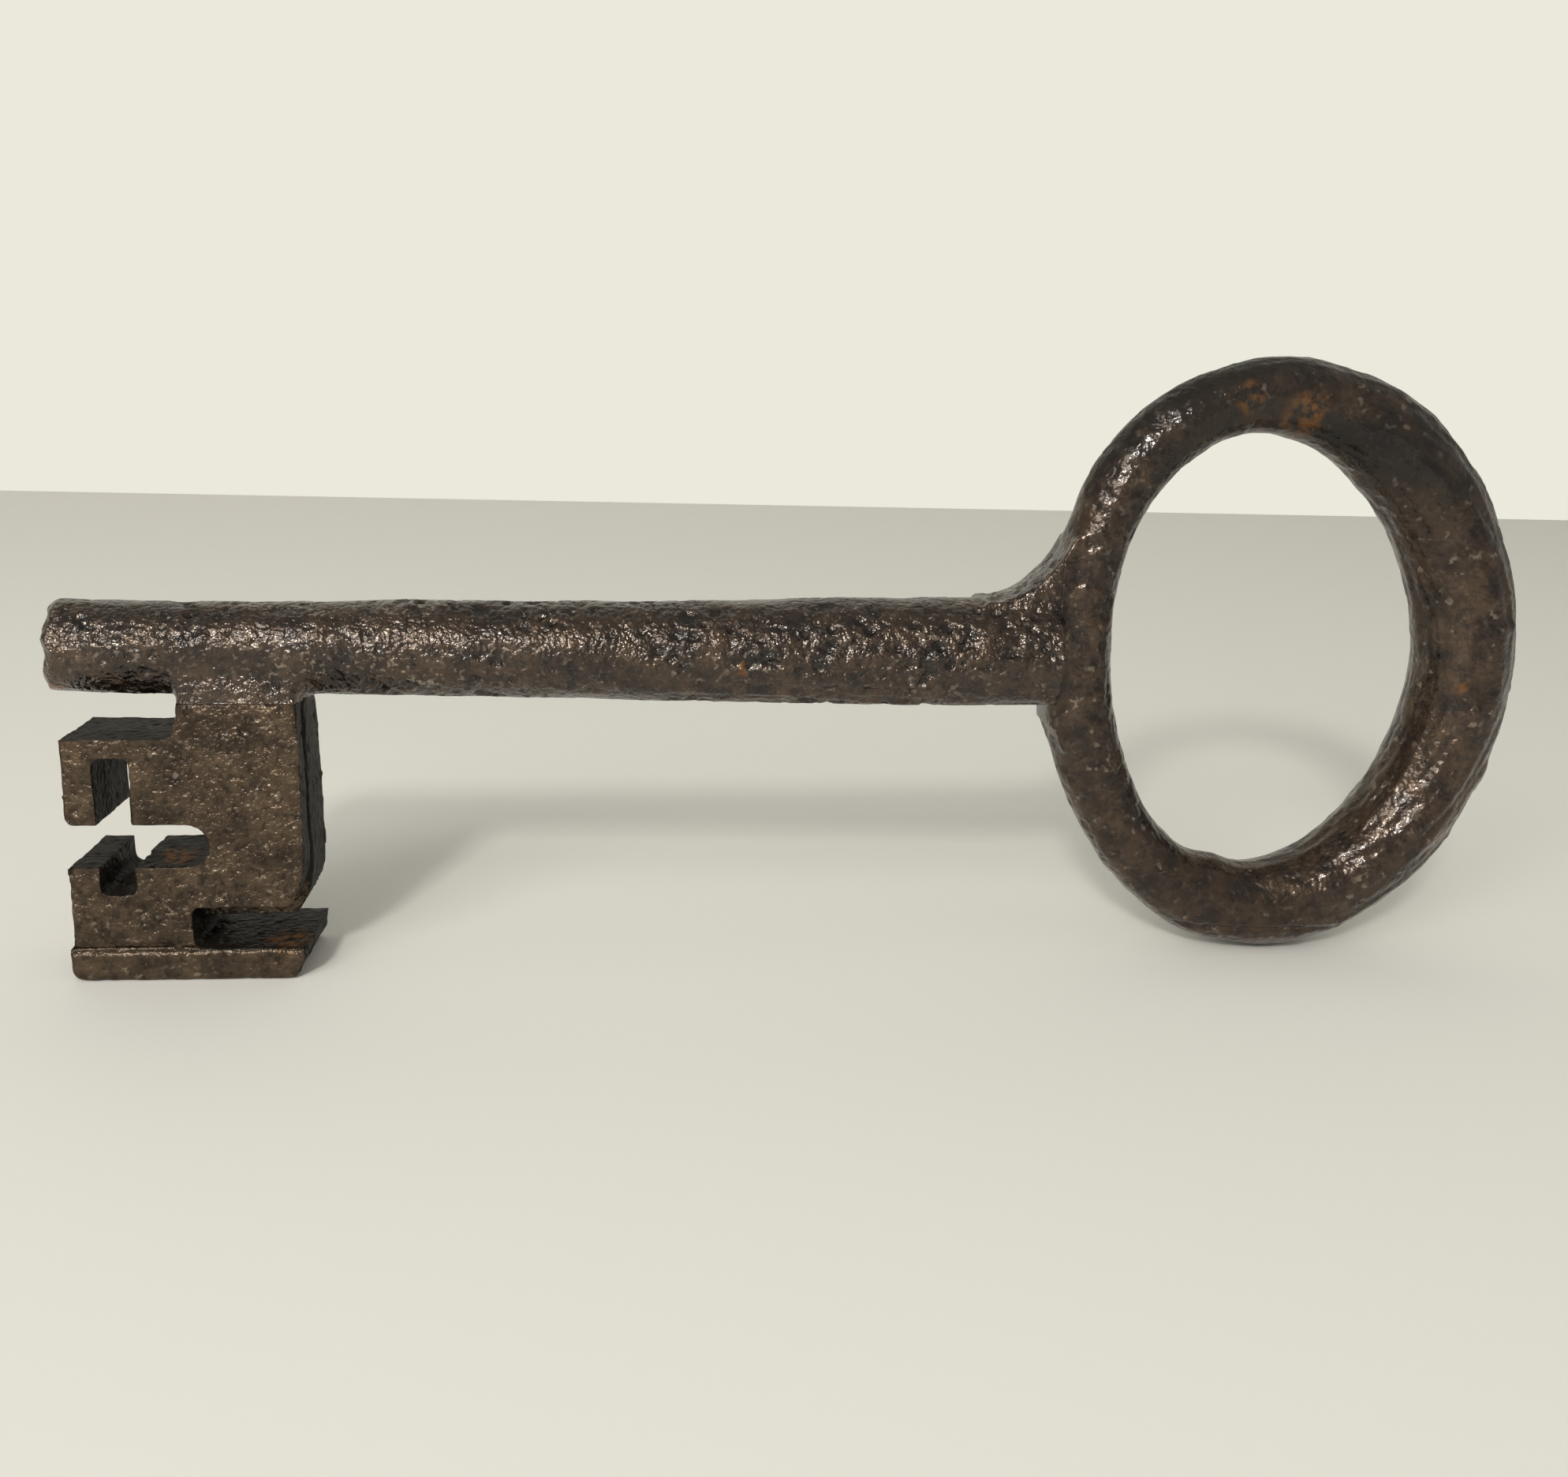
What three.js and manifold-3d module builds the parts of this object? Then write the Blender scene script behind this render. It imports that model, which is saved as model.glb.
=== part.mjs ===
// Forge-welded iron key: a bent bow, a round shank, and a bit of two leaves on a foot.
// Millimetres, +Z up. The model is laid out from the tip of the shank, on the shank's own axis,
// with +X towards the bow, and is then stood on its foot with the origin under its middle.
import * as THREE from 'three';
import Module from 'manifold-3d';
import { mergeVertices } from 'three/addons/utils/BufferGeometryUtils.js';

// Shank: round stem, thickest at the bow
const shankLength = 119.8;
const tipDiameter = 10.7;
const waistDiameter = 11.5;
const waistFromTip = 48;
const rootDiameter = 14.6;
const tipRounding = 0.9;
const tipSlant = 0.7;

// Webs drawn out of the shank's end, above and below, where it is welded to the bow
const webThickness = 7.4;
const upperWebReach = 6.8;
const upperWebRise = 7.9;
const lowerWebReach = 3.4;
const lowerWebRise = 4.8;

// Bow: one round bar bent into a leaning oval, thick at the far side, thin at the weld
const bowWidth = 51.4;
const bowHeight = 66.4;
const bowLean = 7.8;
const bowDrop = 0.6;
const rootFlattening = 0.8;
const thinBarDiameter = 8.5;
const thickBarDiameter = 12.6;
const thickestTurn = -20;
const scarfTurn = -112;
const scarfSwell = 0.8;
const scarfLength = 9;

// Fire welds: what one piece laps over another, and the seam left between them
const weldBite = 1.1;
const weldSeam = 0.3;

// Bit: heights are depths below the shank's axis, lengths run along the shank
const bitFromTip = 1.3;
const bitWidth = 27;
const neckWidth = 14;
const neckDepth = 3.4;
const neckFillet = 1.5;
const ledgeDepth = 9.9;
const soleDepth = 39.6;
const frontLeafThickness = 3.5;
const backLeafThickness = 7.5;
const leafSwell = 1.2;
const bowSideTaper = 2.1;
const bowSideTaperHeight = 7;
const prongCorner = 1.4;

// Wards: a cross cut in from the free edge, and a slot over the foot from the bow side, which
// is filed lower in the back leaf than in the front one
const crossCutDepth = 20.4;
const crossCutHeight = 4.9;
const crossCutLength = 16.1;
const crossSlotFromEdge = 3.7;
const crossSlotWidth = 3.8;
const crossSlotAbove = 7.9;
const crossSlotBelow = 3.3;
const footCutLength = 13.1;
const frontFootCutHeight = 4.8;
const backFootCutHeight = 2.4;

// Foot: a thicker strip welded along the bottom of both leaves
const footThickness = 4.1;
const footProud = 0.3;
const footOverhang = 0.6;
const footCorner = 1.8;
const footEdgeRounding = 0.5;

// Facets
const barSides = 20;
const bowSteps = 84;
const shankSides = 36;
const shankSteps = 14;
const arcSteps = 6;

const wasm = await Module();
wasm.setup();

// Triangles that shrink to a line at a pole are left out of a solid
function solidOf(geometry) {
  const bare = geometry.clone();
  bare.deleteAttribute('normal');
  bare.deleteAttribute('uv');
  const merged = mergeVertices(bare);
  const vertProperties = new Float32Array(merged.attributes.position.array);
  const corners = merged.index.array;
  const kept = [];
  for (let i = 0; i < corners.length; i += 3) {
    const [a, b, c] = corners.slice(i, i + 3);
    if (a !== b && b !== c && c !== a) {
      kept.push(a, b, c);
    }
  }
  const triVerts = new Uint32Array(kept);
  return new wasm.Manifold(new wasm.Mesh({ numProp: 3, vertProperties, triVerts }));
}

function geometryOf(solid) {
  const mesh = solid.getMesh();
  const geometry = new THREE.BufferGeometry();
  geometry.setAttribute('position', new THREE.BufferAttribute(mesh.vertProperties, 3));
  geometry.setIndex(new THREE.BufferAttribute(mesh.triVerts, 1));
  geometry.computeVertexNormals();
  return geometry;
}

// Moves every vertex of a geometry to where place(x, y, z) says
function reshape(geometry, place) {
  const position = geometry.attributes.position;
  for (let i = 0; i < position.count; i += 1) {
    const moved = place(position.getX(i), position.getY(i), position.getZ(i));
    position.setXYZ(i, moved.x, moved.y, moved.z);
  }
  geometry.computeVertexNormals();
  return geometry;
}

// An outline drawn as X and Z, given a thickness that is centred on the key's middle plane
function plate(outline, thickness, rounding) {
  const geometry = new THREE.ExtrudeGeometry(outline, {
    depth: thickness - 2 * rounding,
    curveSegments: arcSteps,
    bevelEnabled: rounding > 0,
    bevelThickness: rounding,
    bevelSize: rounding,
    bevelOffset: -rounding,
    bevelSegments: 3,
  });
  geometry.rotateX(Math.PI / 2);
  geometry.translate(0, thickness / 2 - rounding, 0);
  return geometry;
}

// Bow: the centreline is an ellipse with a flatter side at the weld, leaning towards the shank
const lean = THREE.MathUtils.degToRad(bowLean);
const thickest = THREE.MathUtils.degToRad(thickestTurn);
const scarf = THREE.MathUtils.degToRad(scarfTurn);
const scarfSpread = scarfLength / bowHeight;

function bowLine(turn) {
  const across = (bowWidth / 2) * Math.cos(turn) + rootFlattening * Math.cos(2 * turn);
  const up = (bowHeight / 2) * Math.sin(turn);
  const acrossRate = -(bowWidth / 2) * Math.sin(turn) - 2 * rootFlattening * Math.sin(2 * turn);
  const upRate = (bowHeight / 2) * Math.cos(turn);
  const point = new THREE.Vector2(across, up).rotateAround(new THREE.Vector2(), lean);
  const outward = new THREE.Vector2(upRate, -acrossRate).normalize();
  return { point, outward: outward.rotateAround(new THREE.Vector2(), lean) };
}

function barRadius(turn, inwardness) {
  const share = THREE.MathUtils.smoothstep(Math.cos(turn - thickest), -0.6, 0.7);
  const diameter = THREE.MathUtils.lerp(thinBarDiameter, thickBarDiameter, share);
  const fromScarf = Math.atan2(Math.sin(turn - scarf), Math.cos(turn - scarf));
  const swell = scarfSwell * Math.exp(-((fromScarf / scarfSpread) ** 2));
  return diameter / 2 + swell * Math.max(0, inwardness);
}

// The weld side of the bow lies on the shank's end and laps into it by the weld's bite
function bowWeldSide() {
  let nearest = Infinity;
  for (let step = 0; step < bowSteps; step += 1) {
    const turn = (step / bowSteps) * 2 * Math.PI;
    const { point, outward } = bowLine(turn);
    nearest = Math.min(nearest, point.x + outward.x * barRadius(turn, 0));
  }
  return nearest;
}
const bowCentre = new THREE.Vector2(shankLength - weldBite - bowWeldSide(), -bowDrop);

function bowGeometry(growth) {
  const ring = new THREE.TorusGeometry(2, 1, barSides, bowSteps);
  return reshape(ring, (x, y, z) => {
    const turn = Math.atan2(y, x);
    const outwardness = Math.hypot(x, y) - 2;
    const { point, outward } = bowLine(turn);
    const radius = barRadius(turn, -outwardness) + growth;
    const centre = point.add(bowCentre).addScaledVector(outward, radius * outwardness);
    return new THREE.Vector3(centre.x, -z * radius, centre.y);
  });
}

// Shank: a revolved stem whose profile swells to the root, with a worn, slightly slanted tip
function stemGeometry(growth) {
  const side = new THREE.SplineCurve([
    new THREE.Vector2(tipRounding, tipDiameter / 2),
    new THREE.Vector2(waistFromTip, waistDiameter / 2),
    new THREE.Vector2(shankLength, rootDiameter / 2),
  ]);
  const profile = [new THREE.Vector2(0, 0)];
  profile.push(new THREE.Vector2(tipDiameter / 2 - tipRounding + growth, 0));
  for (const point of side.getPoints(shankSteps)) {
    profile.push(new THREE.Vector2(point.y + growth, point.x));
  }
  profile.push(new THREE.Vector2(0, shankLength));
  const stem = new THREE.LatheGeometry(profile, shankSides);
  const slantEnd = tipDiameter;
  return reshape(stem, (x, y, z) => {
    const fade = THREE.MathUtils.clamp(1 - y / slantEnd, 0, 1);
    const slant = (tipSlant * fade * x) / (tipDiameter / 2);
    return new THREE.Vector3(y + slant, z, x);
  });
}

// Outline of both webs: hollow fillets that leave the stem and run up and down along the bow
function webOutline() {
  const root = rootDiameter / 2;
  const onBow = shankLength + weldBite;
  const behind = onBow + weldBite;
  const inside = root / 2;
  const outline = new THREE.Shape();
  outline.moveTo(onBow - upperWebReach - root, -inside);
  outline.lineTo(onBow - lowerWebReach - inside, -root + weldSeam);
  outline.quadraticCurveTo(onBow - weldBite / 2, -root, onBow, -root - lowerWebRise);
  outline.lineTo(behind, -root - lowerWebRise);
  outline.lineTo(behind, root + upperWebRise);
  outline.lineTo(onBow, root + upperWebRise);
  const upperStart = onBow - upperWebReach - inside;
  outline.quadraticCurveTo(onBow - upperWebReach / 2, root, upperStart, root - weldSeam);
  outline.lineTo(onBow - upperWebReach - root, inside);
  outline.closePath();
  return outline;
}

function shankGeometry() {
  const web = solidOf(plate(webOutline(), webThickness, 0));
  const shank = solidOf(stemGeometry(0)).add(web);
  return geometryOf(shank.subtract(solidOf(bowGeometry(weldSeam))));
}

// Bit: places that the leaves, the wards and the foot share
const bitEnd = bitFromTip + bitWidth;
const neckStart = bitEnd - neckWidth;
const footTop = soleDepth - footThickness;
const crossCutBottom = crossCutDepth + crossCutHeight;
const crossSlotStart = bitFromTip + crossSlotFromEdge;
const crossSlotEnd = crossSlotStart + crossSlotWidth;
const taperEnd = bitEnd - bowSideTaper;

// Outline of a leaf, anticlockwise from the top of the neck on the bow side
function leafOutline(footCutHeight) {
  const footCutTop = footTop - footCutHeight;
  const cutEndRadius = crossCutHeight / 2;
  const cutEndCentre = bitFromTip + crossCutLength - cutEndRadius;
  const outline = new THREE.Shape();
  outline.moveTo(bitEnd, -neckDepth);
  outline.lineTo(neckStart, -neckDepth);
  outline.lineTo(neckStart, -ledgeDepth + neckFillet);
  outline.quadraticCurveTo(neckStart, -ledgeDepth, neckStart - neckFillet, -ledgeDepth);
  outline.lineTo(bitFromTip, -ledgeDepth);
  outline.lineTo(bitFromTip, -crossCutDepth + prongCorner);
  outline.quadraticCurveTo(bitFromTip, -crossCutDepth, bitFromTip + prongCorner, -crossCutDepth);
  outline.lineTo(crossSlotStart, -crossCutDepth);
  outline.lineTo(crossSlotStart, -crossCutDepth + crossSlotAbove);
  outline.lineTo(crossSlotEnd, -crossCutDepth + crossSlotAbove);
  outline.lineTo(crossSlotEnd, -crossCutDepth);
  outline.lineTo(cutEndCentre, -crossCutDepth);
  outline.absarc(cutEndCentre, -crossCutDepth - cutEndRadius, cutEndRadius, Math.PI / 2, -Math.PI / 2, true);
  outline.lineTo(crossSlotEnd, -crossCutBottom);
  outline.lineTo(crossSlotEnd, -crossCutBottom - crossSlotBelow);
  outline.lineTo(crossSlotStart, -crossCutBottom - crossSlotBelow);
  outline.lineTo(crossSlotStart, -crossCutBottom);
  outline.lineTo(bitFromTip, -crossCutBottom);
  outline.lineTo(bitFromTip, -footTop);
  outline.lineTo(bitEnd - footCutLength, -footTop);
  outline.lineTo(bitEnd - footCutLength, -footCutTop);
  outline.lineTo(taperEnd, -footCutTop);
  outline.quadraticCurveTo(bitEnd, -footCutTop + bowSideTaper, bitEnd, -footCutTop + bowSideTaperHeight);
  outline.closePath();
  return outline;
}

// The leaves meet on a plane off the middle, and each swells outwards from the neck to the foot
const leafJoint = (backLeafThickness - frontLeafThickness) / -2;

function leafGeometry(side, thickness, footCutHeight) {
  const flat = plate(leafOutline(footCutHeight), 1, 0);
  const leaf = reshape(flat, (x, y, z) => {
    const depthShare = (-z - neckDepth) / (footTop - neckDepth);
    const reach = thickness + leafSwell * depthShare;
    const fromJoint = (0.5 + side * y) * reach;
    return new THREE.Vector3(x, leafJoint + side * fromJoint, z);
  });
  return geometryOf(solidOf(leaf).subtract(solidOf(stemGeometry(weldSeam))));
}

// Foot: outline seen from the side, flat on top for the leaves and flat below to stand on
function footGeometry() {
  const start = bitFromTip - footOverhang;
  const end = bitEnd;
  const outline = new THREE.Shape();
  outline.moveTo(start, -footTop);
  outline.lineTo(start, -soleDepth + footCorner);
  outline.quadraticCurveTo(start, -soleDepth, start + footCorner, -soleDepth);
  outline.lineTo(end - footCorner, -soleDepth);
  outline.quadraticCurveTo(end - footCorner / 2, -soleDepth, end, -footTop - footCorner / 2);
  outline.lineTo(end, -footTop);
  outline.closePath();
  const bitThickness = frontLeafThickness + backLeafThickness + 2 * leafSwell;
  return plate(outline, bitThickness + 2 * footProud, footEdgeRounding);
}

// Iron, dark with age, a little brighter on the worn bit
function iron(colour, roughness) {
  return new THREE.MeshStandardMaterial({ color: colour, roughness, metalness: 0.85 });
}

function piece(name, geometry, material) {
  const mesh = new THREE.Mesh(geometry, material);
  mesh.name = name;
  return mesh;
}

const key = new THREE.Group();
key.add(piece('bow', bowGeometry(0), iron('#4a4038', 0.5)));
key.add(piece('shank', shankGeometry(), iron('#50463f', 0.45)));
const frontLeaf = leafGeometry(-1, frontLeafThickness, frontFootCutHeight);
key.add(piece('bit_front_leaf', frontLeaf, iron('#5a4f45', 0.5)));
const backLeaf = leafGeometry(1, backLeafThickness, backFootCutHeight);
key.add(piece('bit_back_leaf', backLeaf, iron('#55504a', 0.55)));
key.add(piece('bit_foot', footGeometry(), iron('#4d443c', 0.5)));

// Stood on the foot, with the origin under the middle of the whole key
const box = new THREE.Box3().setFromObject(key);
const middle = box.getCenter(new THREE.Vector3());
key.position.set(-middle.x, -middle.y, -box.min.z);

export default key;
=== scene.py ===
import math
import bpy
import bmesh
import numpy as np
from mathutils import Matrix, Vector


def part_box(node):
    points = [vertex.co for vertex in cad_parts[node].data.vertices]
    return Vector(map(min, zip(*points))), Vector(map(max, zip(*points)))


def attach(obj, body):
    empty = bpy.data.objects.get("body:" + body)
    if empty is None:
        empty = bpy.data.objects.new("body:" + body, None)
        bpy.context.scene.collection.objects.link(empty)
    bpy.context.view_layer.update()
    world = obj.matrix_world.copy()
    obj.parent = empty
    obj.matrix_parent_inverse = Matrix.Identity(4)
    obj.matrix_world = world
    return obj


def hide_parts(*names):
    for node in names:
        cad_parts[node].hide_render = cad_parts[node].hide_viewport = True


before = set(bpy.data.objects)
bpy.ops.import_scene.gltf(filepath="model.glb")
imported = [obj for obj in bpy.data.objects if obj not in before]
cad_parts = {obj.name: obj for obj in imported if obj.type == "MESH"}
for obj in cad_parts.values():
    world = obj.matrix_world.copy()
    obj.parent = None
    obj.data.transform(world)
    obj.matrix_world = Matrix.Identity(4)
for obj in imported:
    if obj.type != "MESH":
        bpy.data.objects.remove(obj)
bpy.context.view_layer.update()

bpy.ops.object.select_all(action="DESELECT")

# Studio
# A pale painted table with a pale wall behind it, and daylight from a window at the left of the
# camera. The camera is a little above the key, opposite the middle of its shank.
MM = 0.001
sheet_size = 6.0
wall_distance = 650 * MM
paint_roughness = 0.7


def linear(hex_colour):
    """An sRGB hex colour as linear red, green, blue and alpha."""
    parts = [int(hex_colour[i:i + 2], 16) / 255 for i in (1, 3, 5)]
    return tuple(c / 12.92 if c <= 0.04045 else ((c + 0.055) / 1.055) ** 2.4 for c in parts) + (1.0,)


def node(tree, kind, settings=(), inputs=()):
    """Adds one node, gives it its settings, and sets or links its inputs."""
    made = tree.nodes.new(kind)
    for name, value in dict(settings).items():
        setattr(made, name, value)
    for name, value in dict(inputs).items():
        if isinstance(value, bpy.types.NodeSocket):
            tree.links.new(value, made.inputs[name])
        else:
            made.inputs[name].default_value = value
    return made


def matt_paint(name, colour):
    """Matt paint, as on the table top and the wall."""
    made = bpy.data.materials.new(name)
    made.use_nodes = True
    surface = made.node_tree.nodes["Principled BSDF"]
    surface.inputs["Base Color"].default_value = linear(colour)
    surface.inputs["Roughness"].default_value = paint_roughness
    return made


bpy.ops.mesh.primitive_plane_add(size=sheet_size, location=(0, wall_distance - sheet_size / 2, 0))
table = bpy.context.object
table.name = "table_top"
table.data.materials.append(matt_paint("painted_table", "#f0eee8"))

upright = (math.pi / 2, 0, 0)
bpy.ops.mesh.primitive_plane_add(size=sheet_size, location=(0, wall_distance, sheet_size / 2),
                                 rotation=upright)
wall = bpy.context.object
wall.name = "wall"
wall_paint = matt_paint("painted_wall", "#e6e5de")
wall.data.materials.append(wall_paint)

# The camera sees one even colour on the wall; light and reflections meet its paint
wall_tree = wall_paint.node_tree
even_colour = node(wall_tree, "ShaderNodeEmission", {}, {"Color": linear("#ebe9dc")})
camera_ray = node(wall_tree, "ShaderNodeLightPath").outputs["Is Camera Ray"]
wall_seen = node(wall_tree, "ShaderNodeMixShader", {}, {
    0: camera_ray,
    1: wall_tree.nodes["Principled BSDF"].outputs["BSDF"],
    2: even_colour.outputs["Emission"],
})
wall_tree.links.new(wall_seen.outputs["Shader"], wall_tree.nodes["Material Output"].inputs["Surface"])

world = bpy.data.worlds.new("daylight")
bpy.context.scene.world = world
world.use_nodes = True
daylight = world.node_tree.nodes["Background"]
daylight.inputs["Color"].default_value = linear("#fbfaf5")
daylight.inputs["Strength"].default_value = 0.42

# Name, place in metres, width in metres and power in watts of each lamp
lamps = (
    ("window", (-0.5, -0.85, 0.62), 0.62, 5.6),
    ("window_pane", (-0.3, -0.8, 0.55), 0.1, 3.6),
)
lit_point = Vector((0, 0, 0.03))
for name, place, width, power in lamps:
    lamp_data = bpy.data.lights.new(name, "AREA")
    lamp_data.size = width
    lamp_data.energy = power
    lamp_data.color = linear("#fffdf7")[:3]
    lamp = bpy.data.objects.new(name, lamp_data)
    bpy.context.collection.objects.link(lamp)
    aim = (lit_point - Vector(place)).to_track_quat("-Z", "Y")
    lamp.matrix_world = Matrix.Translation(place) @ aim.to_matrix().to_4x4()

photo_focal_pixels = 1800
photo_width_pixels = 1988
sensor_width = 36
camera_place = Vector((-23.12, -171.85, 72.65)) * MM
camera_right = Vector((0.99421, -0.10377, 0.02799))
camera_up = Vector((-0.00125, 0.24927, 0.96843))
camera_data = bpy.data.cameras.new("camera")
camera_data.sensor_width = sensor_width
camera_data.clip_start = 5 * MM
camera_data.lens = sensor_width * photo_focal_pixels / photo_width_pixels
camera = bpy.data.objects.new("camera", camera_data)
bpy.context.collection.objects.link(camera)
camera_axes = Matrix((camera_right, camera_up, camera_right.cross(camera_up))).transposed()
camera.matrix_world = Matrix.Translation(camera_place) @ camera_axes.to_4x4()
bpy.context.scene.camera = camera
bpy.context.scene.view_settings.view_transform = "Standard"

# The iron, in one heat
# The five pieces are wrought iron, welded together in the fire, so their surfaces run into each
# other. Copies of all of them are grown until they meet, made one skin, and shrunk back.
names = ("bow", "shank", "bit_front_leaf", "bit_back_leaf", "bit_foot")
weld_growth = 0.32 * MM
skin_grain = 0.31 * MM
merge_distance = 0.001 * MM


def select_only(*objects):
    """Selects these objects and no others, and makes the first one active."""
    bpy.ops.object.select_all(action="DESELECT")
    for each in objects:
        each.select_set(True)
    bpy.context.view_layer.objects.active = objects[0]


def apply_modifier(obj, kind, **settings):
    """Adds a modifier with its settings and applies it at once."""
    select_only(obj)
    modifier = obj.modifiers.new(kind.lower(), kind)
    for name, value in settings.items():
        setattr(modifier, name, value)
    bpy.ops.object.modifier_apply(modifier=modifier.name)


def grown_copy(name):
    """A merged copy of a CAD node's mesh as a new object, grown by weld_growth."""
    made = bpy.data.objects.new(name + "_blank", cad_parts[name].data.copy())
    bpy.context.collection.objects.link(made)
    made.data.materials.clear()
    select_only(made)
    bpy.ops.object.mode_set(mode="EDIT")
    bpy.ops.mesh.select_all(action="SELECT")
    bpy.ops.mesh.remove_doubles(threshold=merge_distance)
    bpy.ops.object.mode_set(mode="OBJECT")
    apply_modifier(made, "DISPLACE", strength=weld_growth, mid_level=0.0)
    return made


blanks = [grown_copy(name) for name in names]
select_only(*blanks)
bpy.ops.object.join()
skin = bpy.context.object
apply_modifier(skin, "REMESH", mode="VOXEL", voxel_size=skin_grain)
apply_modifier(skin, "DISPLACE", strength=-weld_growth, mid_level=0.0)


def coordinates(mesh):
    """The place of each vertex, in mm."""
    flat = np.empty(len(mesh.vertices) * 3)
    mesh.vertices.foreach_get("co", flat)
    return flat.reshape(-1, 3) / MM


def directions(mesh):
    """The outward direction at each vertex."""
    flat = np.empty(len(mesh.vertices) * 3)
    mesh.vertices.foreach_get("normal", flat)
    return flat.reshape(-1, 3)


def ramp(value, low, high):
    """0 below low, 1 above high, smooth between; low may be the larger."""
    share = np.clip((value - low) / (high - low), 0, 1)
    return share * share * (3 - 2 * share)


def chance(cells, seed):
    """A fixed random number from 0 to 1 for each whole-number cell."""
    x, y, z = (cells[:, i].astype(np.int64) for i in range(3))
    mixed = (x * 374761393 + y * 668265263 + z * 1440662683 + seed * 974634777) & 0xFFFFFFFF
    mixed = ((mixed ^ (mixed >> 13)) * 1274126177) & 0xFFFFFFFF
    return (mixed ^ (mixed >> 16)) / 0xFFFFFFFF


def mottle(points, size, seed):
    """Smooth noise from -1 to 1 with lumps of about the given size in mm, or sizes along X, Y, Z."""
    scaled = points / np.asarray(size, dtype=float)
    cell = np.floor(scaled)
    share = scaled - cell
    share = share * share * (3 - 2 * share)
    total = np.zeros(len(points))
    for corner in np.ndindex(2, 2, 2):
        weight = np.prod(np.where(corner, share, 1 - share), axis=1)
        total += weight * chance(cell + corner, seed)
    return total * 2 - 1


def pits(points, spacing, radius, seed):
    """1 inside round pits and 0 outside; each pit has its own place and its own radius in mm."""
    scaled = points / spacing
    cell = np.floor(scaled)
    deepest = np.zeros(len(points))
    for offset in np.ndindex(3, 3, 3):
        near = cell + offset - 1
        middle = near + np.stack([chance(near, seed + k) for k in range(3)], axis=1)
        distance = np.linalg.norm((scaled - middle) * spacing, axis=1)
        reach = radius * (0.35 + 0.9 * chance(near, seed + 3))
        deepest = np.maximum(deepest, ramp(distance, reach, reach * 0.7))
    return deepest


# Where the pieces meet, in mm, from the boxes of the CAD nodes
bow_low, bow_high = (np.array(corner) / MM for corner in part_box("bow"))
bow_middle = (bow_low + bow_high) / 2
weld_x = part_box("shank")[1][0] / MM - 2.4
leaf_high = np.array(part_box("bit_front_leaf")[1]) / MM
axis_height = leaf_high[2] + 3.4
neck_height = axis_height - 5.8
joint_y = leaf_high[1]
foot_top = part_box("bit_foot")[1][2] / MM

# The welds are smoothed well, and all edges a little, as by wear. Each pair of numbers along the
# key is where a soft share is 0 and where it is 1, in mm from the middle.
neck_from_bow = (-58.5, -61)
neck_from_pin = (-80, -77)
bow_weld_reach = (8, 3)
neck_weld_reach = (5.0, 2.2)
neck_weld_height = 2.6
place = coordinates(skin.data)
beside_neck = ramp(place[:, 0], *neck_from_bow) * ramp(place[:, 0], *neck_from_pin)
bow_weld = ramp(np.abs(place[:, 0] - weld_x + 1), *bow_weld_reach)
from_neck = np.abs(place[:, 2] - neck_height - neck_weld_height)
neck_weld = ramp(from_neck, *neck_weld_reach) * beside_neck
all_edges = np.full(len(place), 0.5)
for name, weights, rounds in (
    ("all_edges", all_edges, 6),
    ("bow_weld", bow_weld, 40),
    ("neck_weld", neck_weld, 70),
):
    group = skin.vertex_groups.new(name=name)
    for index, weight in enumerate(weights.tolist()):
        if weight > 0:
            group.add((index,), weight, "REPLACE")
    apply_modifier(skin, "SMOOTH", factor=0.5, iterations=rounds, vertex_group=name)

# Soft shares from 0 to 1 of each region, and places measured round the bow and out from its middle
place = coordinates(skin.data)
outward = directions(skin.data)
x, y, z = place.T
on_bow = ramp(x, weld_x - 3, weld_x + 3)
bit_from_bow = (-58, -60)
on_bit = ramp(z, neck_height + 0.6, neck_height - 0.6) * ramp(x, *bit_from_bow)
on_shank = (1 - on_bow) * (1 - on_bit)
bow_ring_radius = 30
turn = np.arctan2(z - bow_middle[2], x - bow_middle[0])
from_middle = np.hypot(x - bow_middle[0], z - bow_middle[2])
along_bow = np.stack([turn * bow_ring_radius, from_middle, y], axis=1)

# Shank: flat-bottomed corrosion pits over hammered facets, slag streaks low down near the bow
facet_height = 0.28
dent_height = 0.12
pit_depth = 0.42
small_pit_depth = 0.16
streak_height = 0.3
pitted = ramp(mottle(place, (9, 6, 6), 11), -0.75, 0.1)
large_pits = pits(place, 2.1, 1.0, 21) * ramp(mottle(place, 5, 12), -0.35, 0.25)
small_pits = pits(place, 1.15, 0.5, 31)
streaks_from = (-30, 0)
streaked = ramp(x, *streaks_from) * ramp(z, axis_height + 4, axis_height - 1)
streaks = mottle(place, (8, 0.8, 0.8), 41) * streaked
shank_move = facet_height * mottle(place, (10, 7, 7), 1) + dent_height * mottle(place, 2.6, 2)
shank_move -= pitted * (pit_depth * large_pits + small_pit_depth * small_pits)
shank_move += streak_height * streaks

# Bow: smoother, with drawn lines along the bar, small blisters on the weld side, lumps outside
swell_height = 0.3
drawn_height = 0.18
blister_depth = 0.14
lump_height = 0.35
drawn_from = (56, 72)
blisters_until = (52, 38)
lumps_from = (80, 87)
drawn_lines = mottle(along_bow, (8, 0.9, 0.9), 51) * ramp(x, *drawn_from)
blisters = pits(place, 1.9, 0.95, 61) * ramp(x, *blisters_until)
outer_lumps = ramp(x, *lumps_from) * ramp(mottle(along_bow, (2.2, 4, 4), 71), 0.25, 0.8)
bow_move = swell_height * mottle(place, (8, 8, 8), 3) + dent_height * mottle(place, 2.4, 4)
bow_move += drawn_height * drawn_lines - blister_depth * blisters
bow_move += lump_height * outer_lumps

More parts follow.
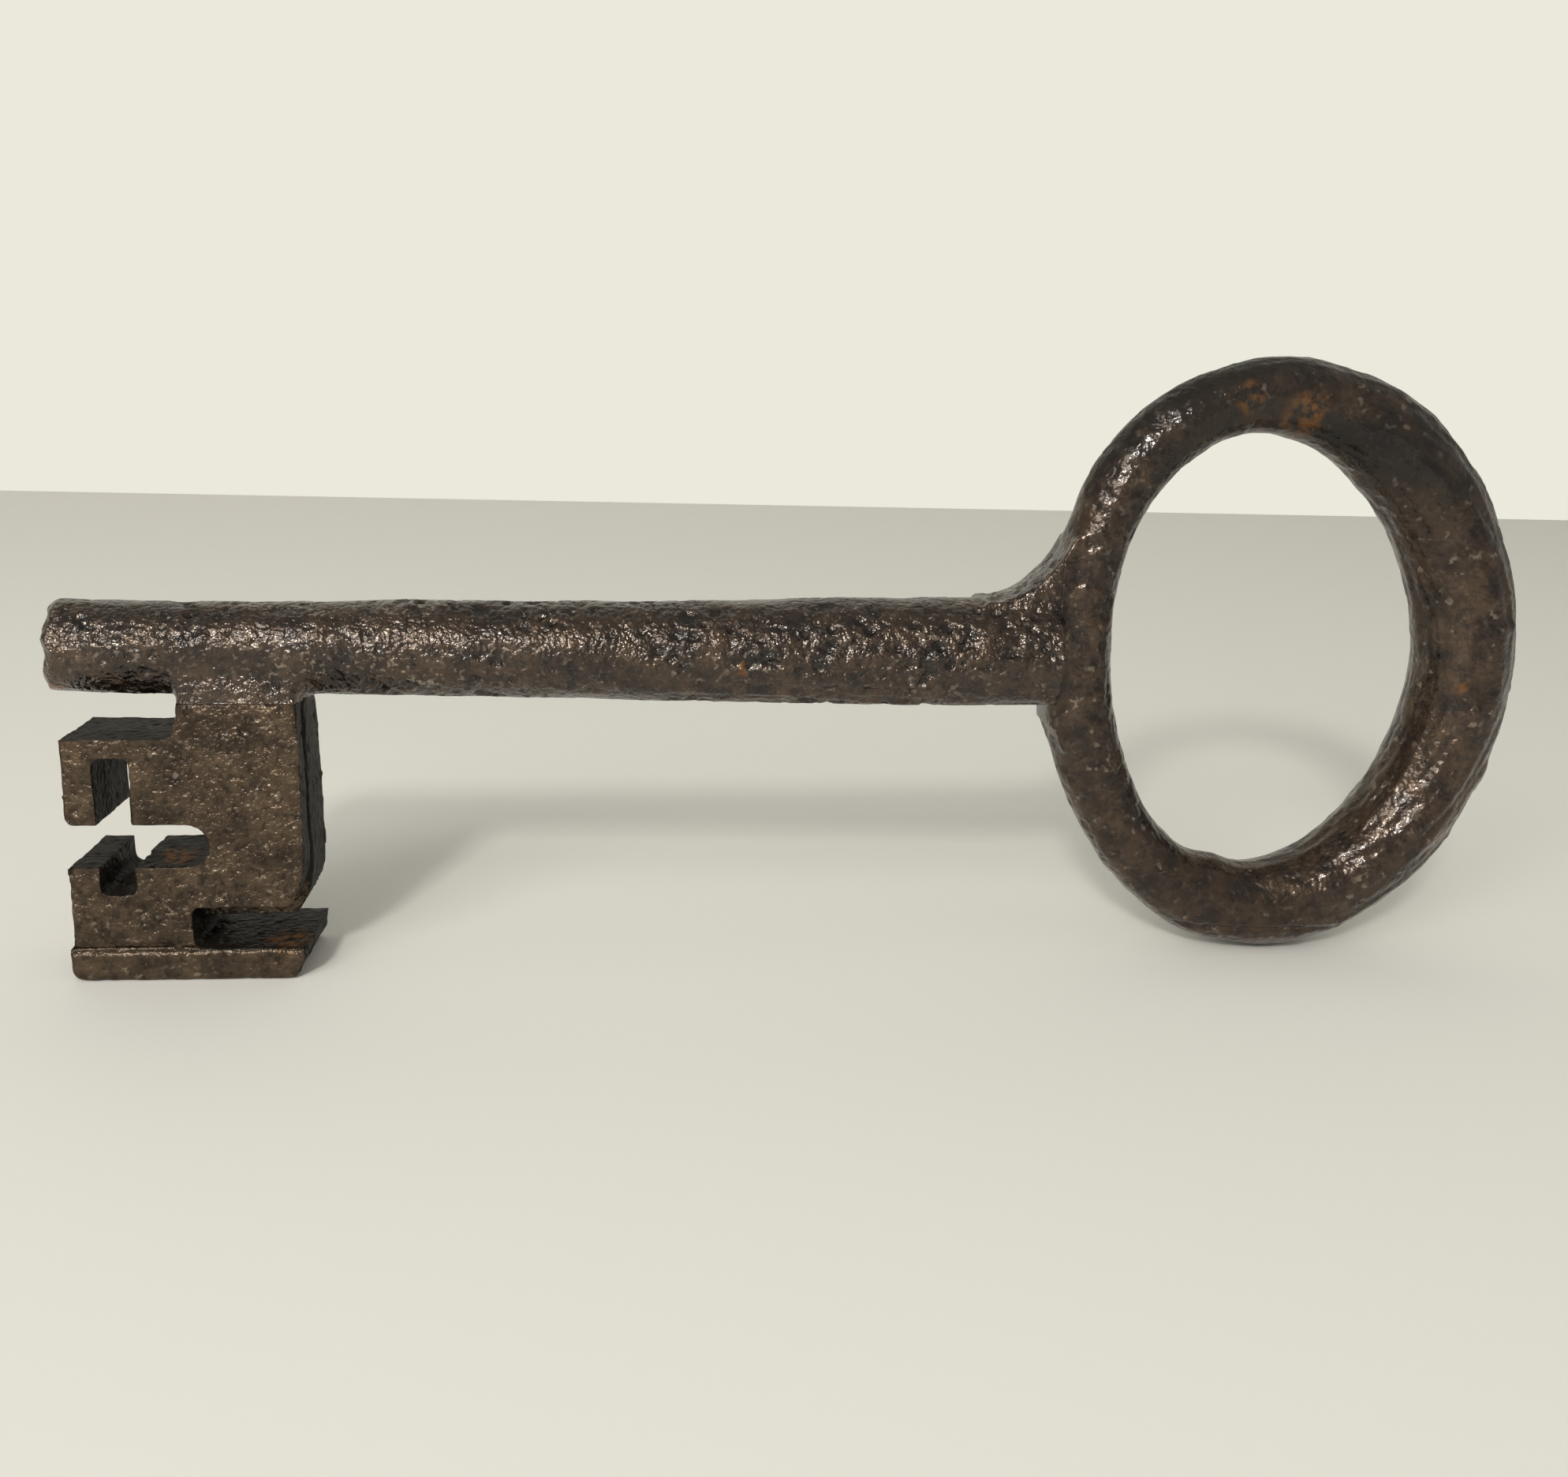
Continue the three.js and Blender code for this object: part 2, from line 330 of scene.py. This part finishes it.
# Bit: flat filed faces, granular with rust, with a few dents
filed_wave = 0.1
rust_grain = 0.08
bit_pit_depth = 0.14
bit_move = filed_wave * mottle(place, (4, 4, 5), 5) + rust_grain * mottle(place, 1.1, 6)
bit_move -= bit_pit_depth * pits(place, 2.2, 0.55, 81)

finest_grain = 0.03
move = on_shank * shank_move + on_bow * bow_move + on_bit * bit_move
move += finest_grain * mottle(place, 0.7, 7)
place += outward * move[:, None]

# The tip is broken off rough, and the foot's bow end shows its layers
break_depth = 0.8
layer_depth = 0.22
tip_from = (-85.5, -89.5)
foot_end_from = (-66, -62.5)
rough_tip = ramp(x, *tip_from) * on_shank
place[:, 0] += rough_tip * break_depth * mottle(place, (4, 2.6, 2.6), 91)
layered = ramp(x, *foot_end_from) * ramp(z, 9.5, 8.5) * ramp(outward[:, 0], 0.2, 0.7)
place[:, 0] -= layered * layer_depth * (1 + mottle(place, (6, 3, 0.9), 92))

# The seam of the leaves stays open at the bit's bow end, and the shut line of the foot all round
seam_depth = 0.7
shut_depth = 0.35
bit_end_from = (-66, -63)
from_seam = np.abs(y - joint_y - 0.5 * mottle(place, 3, 93))
seam = ramp(from_seam, 0.75, 0.15) * ramp(outward[:, 0], 0.3, 0.8) * ramp(x, *bit_end_from)
place[:, 0] -= seam * seam_depth * on_bit
shut = ramp(np.abs(z - foot_top - 0.25 * mottle(place, 3, 94)), 0.55, 0.1)
place[:, 1] += shut * shut_depth * ramp(-outward[:, 1], 0.4, 0.8)
place[:, 1] -= shut * shut_depth * ramp(outward[:, 1], 0.4, 0.8)

table_gap = 0.02
place[:, 2] = np.maximum(place[:, 2], table_gap)
skin.data.vertices.foreach_set("co", (place * MM).ravel())
skin.data.update()


def store(name, values):
    """Keeps one number per vertex on the skin, for the materials to read."""
    attribute = skin.data.attributes.new(name, "FLOAT", "POINT")
    attribute.data.foreach_set("value", np.clip(values, 0, 1))


# Middle and reach, in mm, of each spot of open rust
rust_spots = (
    ((57.5, -3.5, 70.0), 3.6), ((50.5, -4.0, 71.5), 2.2),
    ((-77.5, -2.0, 14.2), 3.4), ((-64.5, -4.0, 3.8), 3.2),
    ((-90.0, -3.0, 35.6), 2.2), ((-9.5, -6.0, 38.4), 1.2),
    ((82.0, -5.5, 36.5), 1.2), ((73.5, -3.5, 66.0), 1.0),
)
rust = np.zeros(len(place))
for spot, reach in rust_spots:
    gap = np.linalg.norm(place - np.array(spot), axis=1) / reach
    rust = np.maximum(rust, ramp(gap + 0.35 * mottle(place, 1.2, 95), 1.0, 0.35))
store("rust", rust)

shank_pits = pitted * np.maximum(large_pits, 0.6 * small_pits)
store("pit", on_shank * shank_pits + on_bow * 0.6 * blisters)

# Pale metal colour on pit rims and fine high spots is partly handling wear and partly painted glints; in
# a band beside the bit it is a painted highlight
rims = 4 * large_pits * (1 - large_pits) + 4 * small_pits * (1 - small_pits)
high_spots = ramp(mottle(place, 0.8, 96) + 0.5 * mottle(place, (3, 2, 2), 97), 0.25, 0.8)
# Painted highlight: the band beside the bit, where light lies along the shank
highlight_band_middle = -54
highlight_band_reach = (18, 5)
painted_highlight_band = ramp(np.abs(x - highlight_band_middle), *highlight_band_reach) * ramp(mottle(place, (4, 1.5, 1.5), 98), -0.3, 0.4)
shank_wear_and_highlight = 0.8 * rims * pitted + 0.6 * high_spots + 0.9 * painted_highlight_band
store("wear_and_highlight", on_shank * shank_wear_and_highlight + (on_bit + on_bow) * 0.6 * high_spots)

# Painted shade darkens and dulls the bit's upward ledges and bow-facing end, and in patches the top of
# the bow and the upward inner bottom of the bow
bit_painted_shade = on_bit * np.maximum(ramp(outward[:, 2], 0.35, 0.8), ramp(outward[:, 0], 0.5, 0.85))
bow_painted_shade = on_bow * ramp(z, 56, 66) + on_bow * ramp(z, 12, 5) * ramp(outward[:, 2], 0.1, 0.6)
store("painted_shade", bit_painted_shade + bow_painted_shade * ramp(mottle(place, (9, 6, 6), 99), -0.8, 0.3))
store("filed", ramp(z, neck_height + 3, neck_height - 2) * ramp(x, -57, -61))

# Shank
# Solid round stem, forged under the hammer, with deep old corrosion and a waxed surface.
# Its lower side lies over the bit's neck, and its end laps the bow.


def waxed_iron(name, grain_mm, relief, wax):
    """Wrought iron with brown-black oxide, grey metal on its high spots as wear and as painted glints and
    highlight, painted shade where marked, and clear wax over it.

    grain_mm is the size of the finest lumps, relief how strongly they stand up, and wax how
    full the wax is.
    """
    made = bpy.data.materials.new(name)
    made.use_nodes = True
    tree = made.node_tree
    surface = tree.nodes["Principled BSDF"]
    where = node(tree, "ShaderNodeTexCoord").outputs["Object"]

    noises = {}
    for layer, size_mm, detail, roughness in (
        ("cloud", 3.5, 5.0, 0.6),
        ("crust", 2 * grain_mm, 2.5, 0.6),
        ("grain", grain_mm, 1.5, 0.5),
        ("speck", 1.2 * grain_mm, 1.0, 0.6),
    ):
        noise = node(tree, "ShaderNodeTexNoise", {}, {
            "Vector": where, "Scale": 1 / (size_mm * MM), "Detail": detail, "Roughness": roughness})
        noises[layer] = noise.outputs["Fac"]

    stored = {}
    for mark in ("filed", "wear_and_highlight", "painted_shade", "pit", "rust"):
        attribute = node(tree, "ShaderNodeAttribute", {"attribute_name": mark})
        stored[mark] = attribute.outputs["Fac"]

    shares = {}
    for effect, layer, low, high in (
        ("clouded", "cloud", 0.34, 0.66),
        ("crusted", "crust", 0.48, 0.34),
        ("specked", "speck", 0.56, 0.64),
        ("flaked", "crust", 0.42, 0.58),
    ):
        share = node(tree, "ShaderNodeMapRange", {}, {
            "Value": noises[layer], "From Min": low, "From Max": high})
        shares[effect] = share.outputs["Result"]

    oxides = []
    for dark, pale in (("#241810", "#4b3928"), ("#30251a", "#5a4a39")):
        oxide = node(tree, "ShaderNodeMix", {"data_type": "RGBA"}, {
            "Factor": shares["clouded"], "A": linear(dark), "B": linear(pale)})
        oxides.append(oxide.outputs["Result"])
    brown, grey_brown = oxides
    ground = node(tree, "ShaderNodeMix", {"data_type": "RGBA"}, {
        "Factor": stored["filed"], "A": brown, "B": grey_brown})

    # Painted highlight: the pale grey metal colour stands partly for wear and partly for glints and for a
    # band of light on the shank
    bared_and_highlit = node(tree, "ShaderNodeMath", {"operation": "MULTIPLY_ADD"}, {
        0: stored["wear_and_highlight"], 1: 0.7, 2: 0.05})
    bright = node(tree, "ShaderNodeMath", {"operation": "MULTIPLY"}, {
        0: bared_and_highlit.outputs[0], 1: shares["specked"]}).outputs[0]
    flaking_rust = node(tree, "ShaderNodeMath", {"operation": "MULTIPLY"}, {
        0: stored["rust"], 1: shares["flaked"]}).outputs[0]

    colour = ground.outputs["Result"]
    # Painted shade: the near-black layer at strength 0.9 darkens faces turned up or towards the bow
    for share, strength, tint in (
        (shares["crusted"], 0.6, "#150f09"),
        (bright, 1.0, "#9f9080"),
        (stored["painted_shade"], 0.9, "#120d07"),
        (stored["pit"], 0.8, "#120c08"),
        (flaking_rust, 0.7, "#7d501e"),
    ):
        cover = node(tree, "ShaderNodeMath", {"operation": "MULTIPLY"}, {0: share, 1: strength})
        layer = node(tree, "ShaderNodeMix", {"data_type": "RGBA"}, {
            "Factor": cover.outputs[0], "A": colour, "B": linear(tint)})
        colour = layer.outputs["Result"]
    tree.links.new(colour, surface.inputs["Base Color"])

    crust_dullness = node(tree, "ShaderNodeMath", {"operation": "MULTIPLY_ADD"}, {
        0: noises["crust"], 1: 0.4, 2: 0.16})
    rubbed = node(tree, "ShaderNodeMath", {"operation": "MULTIPLY_ADD"}, {
        0: bright, 1: -0.2, 2: crust_dullness.outputs[0]})
    dulled = node(tree, "ShaderNodeMath", {"operation": "MULTIPLY_ADD"}, {
        0: stored["painted_shade"], 1: 0.45, 2: rubbed.outputs[0]})
    tree.links.new(dulled.outputs[0], surface.inputs["Roughness"])
    # The oxide hides a quarter of the metal's shine
    surface.inputs["Metallic"].default_value = 0.75
    surface.inputs["Coat Weight"].default_value = wax
    surface.inputs["Coat Roughness"].default_value = 0.12

    crust_height = 0.45 * MM
    grain_height = 0.2 * MM
    coarse = node(tree, "ShaderNodeBump", {}, {
        "Strength": 0.7 * relief, "Distance": crust_height, "Height": noises["crust"]})
    fine = node(tree, "ShaderNodeBump", {}, {
        "Strength": 0.6 * relief, "Distance": grain_height, "Height": noises["grain"],
        "Normal": coarse.outputs["Normal"]})
    tree.links.new(fine.outputs["Normal"], surface.inputs["Normal"])
    tree.links.new(fine.outputs["Normal"], surface.inputs["Coat Normal"])
    return made


def cut_out(name, planes, material):
    """Cuts one closed piece out of the skin: each plane is (point in mm, direction to drop)."""
    made = bpy.data.objects.new(name + "_forged", skin.data.copy())
    bpy.context.collection.objects.link(made)
    for point, drop in planes:
        shape = bmesh.new()
        shape.from_mesh(made.data)
        geometry = shape.verts[:] + shape.edges[:] + shape.faces[:]
        cut = bmesh.ops.bisect_plane(shape, geom=geometry, plane_co=Vector(point) * MM,
                                     plane_no=drop, clear_outer=True)
        rim = [part for part in cut["geom_cut"] if isinstance(part, bmesh.types.BMEdge)]
        bmesh.ops.triangle_fill(shape, edges=rim, use_beauty=True, normal=drop)
        shape.normal_update()
        shape.to_mesh(made.data)
        shape.free()
    made.data.materials.append(material)
    select_only(made)
    bpy.ops.object.shade_smooth()
    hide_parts(name)
    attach(made, "root")


bow_plane = (weld_x, 0, 0)
neck_plane = (0, 0, neck_height)
# Wax over pitted iron: broad broken highlights, with dark pits between bright rims and a painted
# highlight band beside the bit
shank_iron = waxed_iron("waxed_pitted_wrought_iron", grain_mm=0.6, relief=1.0, wax=0.75)
shank_cuts = [(bow_plane, (1, 0, 0)), (neck_plane, (0, 0, -1))]
cut_out("shank", shank_cuts, shank_iron)

# Bow
# One round bar of wrought iron bent to a leaning oval, its ends scarfed and welded at the
# lower left. It is worn smoother than the shank by the hand.

# Wax over hand-worn iron: softer, longer highlights along the bar
bow_iron = waxed_iron("waxed_smooth_wrought_iron", grain_mm=0.8, relief=0.6, wax=0.6)
cut_out("bow", [(bow_plane, (-1, 0, 0))], bow_iron)

# Bit leaves
# Two flat layers of wrought iron, welded face to face and to the shank, with the ward cuts
# filed straight through both.
end_plane = (leaf_high[0] + 2.0, 0, 0)
foot_plane = (0, 0, foot_top)
leaf_cuts = [(neck_plane, (0, 0, 1)), (end_plane, (1, 0, 0)), (foot_plane, (0, 0, -1))]

# Little wax over filed iron: flat, grey-brown and granular, with small glints
leaf_iron = waxed_iron("waxed_filed_wrought_iron", grain_mm=0.5, relief=0.8, wax=0.15)
cut_out("bit_front_leaf", leaf_cuts + [((0, joint_y, 0), (0, 1, 0))], leaf_iron)
cut_out("bit_back_leaf", leaf_cuts + [((0, joint_y, 0), (0, -1, 0))], leaf_iron)

# Bit foot
# A strip of wrought iron welded across the bottom of the leaves, which the key stands on.
# Its bow end shows the layers that it was folded from.

# Little wax over layered iron: as the leaves, with slightly coarser grain
foot_iron = waxed_iron("waxed_layered_wrought_iron", grain_mm=0.6, relief=0.8, wax=0.2)
cut_out("bit_foot", [(foot_plane, (0, 0, 1)), (end_plane, (1, 0, 0))], foot_iron)

bpy.data.objects.remove(skin)
bpy.ops.object.select_all(action="DESELECT")
